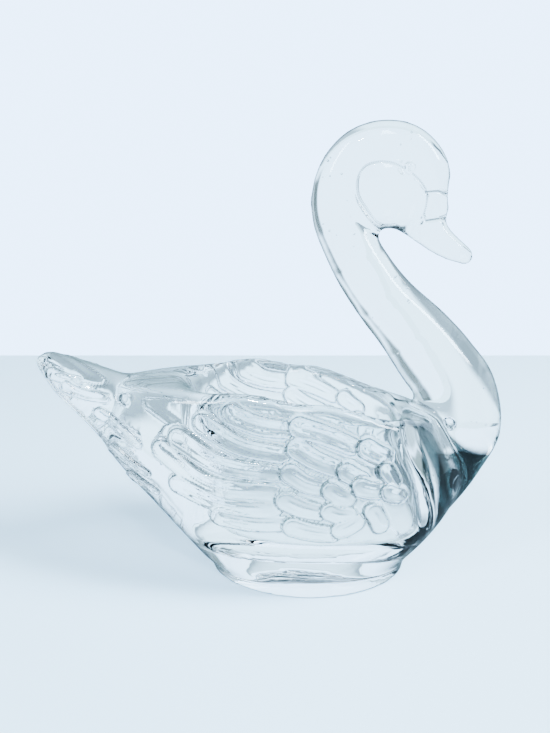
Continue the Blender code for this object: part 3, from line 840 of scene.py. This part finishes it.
def makeFloor():
    sizes = stageSizes
    half, thick = sizes["floorHalf"], sizes["floorThick"]
    mesh = bmesh.new()
    middle = Matrix.Translation((0, 0, -thick / 2 - sizes["floorDrop"]))
    bmesh.ops.create_cube(mesh, size=1, matrix=middle @ Matrix.Diagonal((2 * half, 2 * half, thick, 1)))
    floor = objectFrom("paleFloor", mesh)
    material = bpy.data.materials.new("paleFloor")
    material.use_nodes = True
    tree = material.node_tree
    shader = tree.nodes["Principled BSDF"]
    shader.inputs["Roughness"].default_value = sizes["floorRoughness"]
    shader.inputs["Emission Strength"].default_value = sizes["floorGlow"]
    place = addNode(tree, "ShaderNodeTexCoord", (-900, 0))
    cast = addNode(tree, "ShaderNodeGroup", (-700, 0), node_tree=castLightGroup())
    path = addNode(tree, "ShaderNodeLightPath", (-700, 300))
    # painted light and shade: through the glass the floor has no lit colour but glows castGlow times stronger under
    # the cast shade, and in reflections it is painted dark
    shade = addNode(tree, "ShaderNodeMix", (-500, 100), data_type="FLOAT")
    shade.inputs[2].default_value = castLight["seen"]
    reflectionShade = addNode(tree, "ShaderNodeMix", (-400, 300), data_type="FLOAT")
    reflectionShade.inputs[3].default_value = castLight["reflected"]
    lit = addNode(tree, "ShaderNodeMix", (-400, -200), data_type="FLOAT")
    lit.inputs[2].default_value, lit.inputs[3].default_value = 1.0, 0.0
    glow = addNode(tree, "ShaderNodeMix", (-400, -400), data_type="FLOAT")
    glow.inputs[2].default_value, glow.inputs[3].default_value = 1.0, sizes["castGlow"]
    tint = addNode(tree, "ShaderNodeVectorMath", (-300, 0), operation="SCALE")
    tint.inputs[0].default_value = sizes["floorColour"][:3]
    body = addNode(tree, "ShaderNodeVectorMath", (-150, 0), operation="SCALE")
    shine = addNode(tree, "ShaderNodeVectorMath", (-150, -200), operation="SCALE")
    joinAll(tree, (
        (place.outputs["Object"], cast.inputs["Place"]), (path.outputs["Is Transmission Ray"], shade.inputs[0]),
        (cast.outputs["Shade"], shade.inputs[3]), (path.outputs["Is Reflection Ray"], reflectionShade.inputs[0]),
        (shade.outputs[0], reflectionShade.inputs[2]), (reflectionShade.outputs[0], tint.inputs["Scale"]),
        (path.outputs["Is Transmission Ray"], lit.inputs[0]), (path.outputs["Is Transmission Ray"], glow.inputs[0]),
        (tint.outputs[0], body.inputs[0]), (lit.outputs[0], body.inputs["Scale"]),
        (tint.outputs[0], shine.inputs[0]), (glow.outputs[0], shine.inputs["Scale"]),
        (body.outputs[0], shader.inputs["Base Color"]), (shine.outputs[0], shader.inputs["Emission Color"]),
    ))
    floor.data.materials.append(material)
    return floor


def softPanelGroup():  # a soft-edged panel of colour laid over the room, by direction
    group = bpy.data.node_groups.new("softPanel", "ShaderNodeTree")
    sockets = group.interface.new_socket
    sockets("Room", in_out="INPUT", socket_type="NodeSocketColor")
    sockets("Panel", in_out="INPUT", socket_type="NodeSocketColor")
    sockets("Way", in_out="INPUT", socket_type="NodeSocketVector")
    sockets("Towards", in_out="INPUT", socket_type="NodeSocketVector")
    for name in ("Side Start", "Side End", "Low Start", "Low End", "High Start", "High End"):
        sockets(name, in_out="INPUT", socket_type="NodeSocketFloat")
    sockets("Room", in_out="OUTPUT", socket_type="NodeSocketColor")
    given, result = addNode(group, "NodeGroupInput", (-1200, 0)), addNode(group, "NodeGroupOutput", (600, 0))
    flat = addNode(group, "ShaderNodeVectorMath", (-1000, 200), operation="MULTIPLY")
    flat.inputs[1].default_value = (1, 1, 0)
    flatWay = addNode(group, "ShaderNodeVectorMath", (-800, 200), operation="NORMALIZE")
    side = addNode(group, "ShaderNodeVectorMath", (-600, 200), operation="DOT_PRODUCT")
    parts = addNode(group, "ShaderNodeSeparateXYZ", (-1000, -200))
    group.links.new(given.outputs["Way"], flat.inputs[0])
    group.links.new(flat.outputs[0], flatWay.inputs[0])
    group.links.new(flatWay.outputs[0], side.inputs[0])
    group.links.new(given.outputs["Towards"], side.inputs[1])
    group.links.new(given.outputs["Way"], parts.inputs[0])
    masks = []
    for index, (source, start, end) in enumerate((
        (side.outputs["Value"], "Side Start", "Side End"),
        (parts.outputs["Z"], "Low Start", "Low End"),
        (parts.outputs["Z"], "High Start", "High End"),
    )):
        ease = addNode(group, "ShaderNodeMapRange", (-300, 200 - 250 * index), interpolation_type="SMOOTHSTEP")
        group.links.new(source, ease.inputs["Value"])
        group.links.new(given.outputs[start], ease.inputs["From Min"])
        group.links.new(given.outputs[end], ease.inputs["From Max"])
        masks.append(ease.outputs["Result"])
    both = addNode(group, "ShaderNodeMath", (0, 100), operation="MULTIPLY")
    group.links.new(masks[0], both.inputs[0])
    group.links.new(masks[1], both.inputs[1])
    every = addNode(group, "ShaderNodeMath", (150, 100), operation="MULTIPLY")
    group.links.new(both.outputs[0], every.inputs[0])
    group.links.new(masks[2], every.inputs[1])
    mix = addNode(group, "ShaderNodeMix", (350, 0), data_type="RGBA")
    group.links.new(every.outputs[0], mix.inputs[0])
    group.links.new(given.outputs["Room"], mix.inputs[6])
    group.links.new(given.outputs["Panel"], mix.inputs[7])
    group.links.new(mix.outputs[2], result.inputs["Room"])
    return group


def makeWorld():
    looks = roomLooks
    world = bpy.data.worlds.new("paleRoom")
    bpy.context.scene.world = world
    world.use_nodes = True
    tree = world.node_tree
    back = tree.nodes["Background"]
    way = addNode(tree, "ShaderNodeTexCoord", (-2400, 0))
    parts = addNode(tree, "ShaderNodeSeparateXYZ", (-2200, 200))
    rise = addNode(tree, "ShaderNodeMapRange", (-2000, 200), interpolation_type="SMOOTHSTEP")
    rise.inputs["From Min"].default_value = looks["domeStart"]
    rise.inputs["From Max"].default_value = looks["domeEnd"]
    dome = addNode(tree, "ShaderNodeMix", (-1800, 200), data_type="RGBA")
    dome.inputs[6].default_value = looks["horizon"]
    dome.inputs[7].default_value = looks["zenith"]
    tree.links.new(way.outputs["Generated"], parts.inputs[0])
    tree.links.new(parts.outputs["Z"], rise.inputs["Value"])
    tree.links.new(rise.outputs["Result"], dome.inputs[0])
    path = addNode(tree, "ShaderNodeLightPath", (-1900, 500))
    reflectionShade = addNode(tree, "ShaderNodeMix", (-1650, 300), data_type="RGBA")
    reflectionShade.inputs[7].default_value = looks["reflected"]
    tree.links.new(path.outputs["Is Reflection Ray"], reflectionShade.inputs[0])
    tree.links.new(dome.outputs[2], reflectionShade.inputs[6])
    room = reflectionShade.outputs[2]
    group = softPanelGroup()
    for index, panel in enumerate(looks["panels"]):
        laid = addNode(tree, "ShaderNodeGroup", (-1500 + 220 * index, 200), node_tree=group)
        turn, half, soft = (math.radians(panel[key]) for key in ("azimuth", "half", "soft"))
        low, high = math.radians(panel["low"]), math.radians(panel["high"])
        values = {
            "Panel": panel["colour"],
            "Towards": (math.sin(turn), math.cos(turn), 0),
            "Side Start": math.cos(half + soft), "Side End": math.cos(max(0, half - soft)),
            "Low Start": math.sin(low - soft), "Low End": math.sin(low + soft),
            "High Start": math.sin(high + soft), "High End": math.sin(high - soft),
        }
        for name, value in values.items():
            laid.inputs[name].default_value = value
        tree.links.new(way.outputs["Generated"], laid.inputs["Way"])
        tree.links.new(room, laid.inputs["Room"])
        room = laid.outputs["Room"]
    seen = addNode(tree, "ShaderNodeMix", (-100, 200), data_type="RGBA")
    seen.inputs[7].default_value = looks["seenDirectly"]
    tree.links.new(path.outputs["Is Camera Ray"], seen.inputs[0])
    tree.links.new(room, seen.inputs[6])
    tree.links.new(seen.outputs[2], back.inputs["Color"])


lamps = dict(
    windowLight=dict(place=(0.75, -0.25, 0.75), aim=(0, 0, 0.03), size=0.5, power=62),
    smallLamp=dict(place=(-0.10, -0.42, 0.55), aim=(0, 0, 0.05), size=0.05, power=3),
)

cameraView = dict(lens=34.38, nearest=0.01, place=(-0.0108, -0.2182, 0.1097), tiltDown=11.6)


def addAreaLight(name, place, aim, size, power):
    data = bpy.data.lights.new(name, "AREA")
    data.shape = "DISK"
    data.size = size
    data.energy = power
    light = bpy.data.objects.new(name, data)
    light.location = place
    light.rotation_euler = (Vector(aim) - Vector(place)).to_track_quat("-Z", "Y").to_euler()
    bpy.context.scene.collection.objects.link(light)
    return light


def makeCamera():
    data = bpy.data.cameras.new("camera")
    data.lens = cameraView["lens"]
    data.clip_start = cameraView["nearest"]
    camera = bpy.data.objects.new("camera", data)
    camera.location = cameraView["place"]
    camera.rotation_euler = (math.radians(90 - cameraView["tiltDown"]), 0, 0)
    bpy.context.scene.collection.objects.link(camera)
    bpy.context.scene.camera = camera


makeCamera()
makeWorld()
floor = makeFloor()
windowLight = addAreaLight("windowLight", **lamps["windowLight"])
windowLight.visible_glossy = False  # the room's bright panels are what the glass mirrors
addAreaLight("smallLamp", **lamps["smallLamp"])
print("stage ready")

swan = makeSwan()
swan.data.materials.clear()
swan.data.materials.append(glassMaterial())
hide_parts("glass_swan")
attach(swan, "root")
print("swan placed")

bubbles = makeBubbles()
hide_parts("glass_swan")
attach(bubbles, "root")
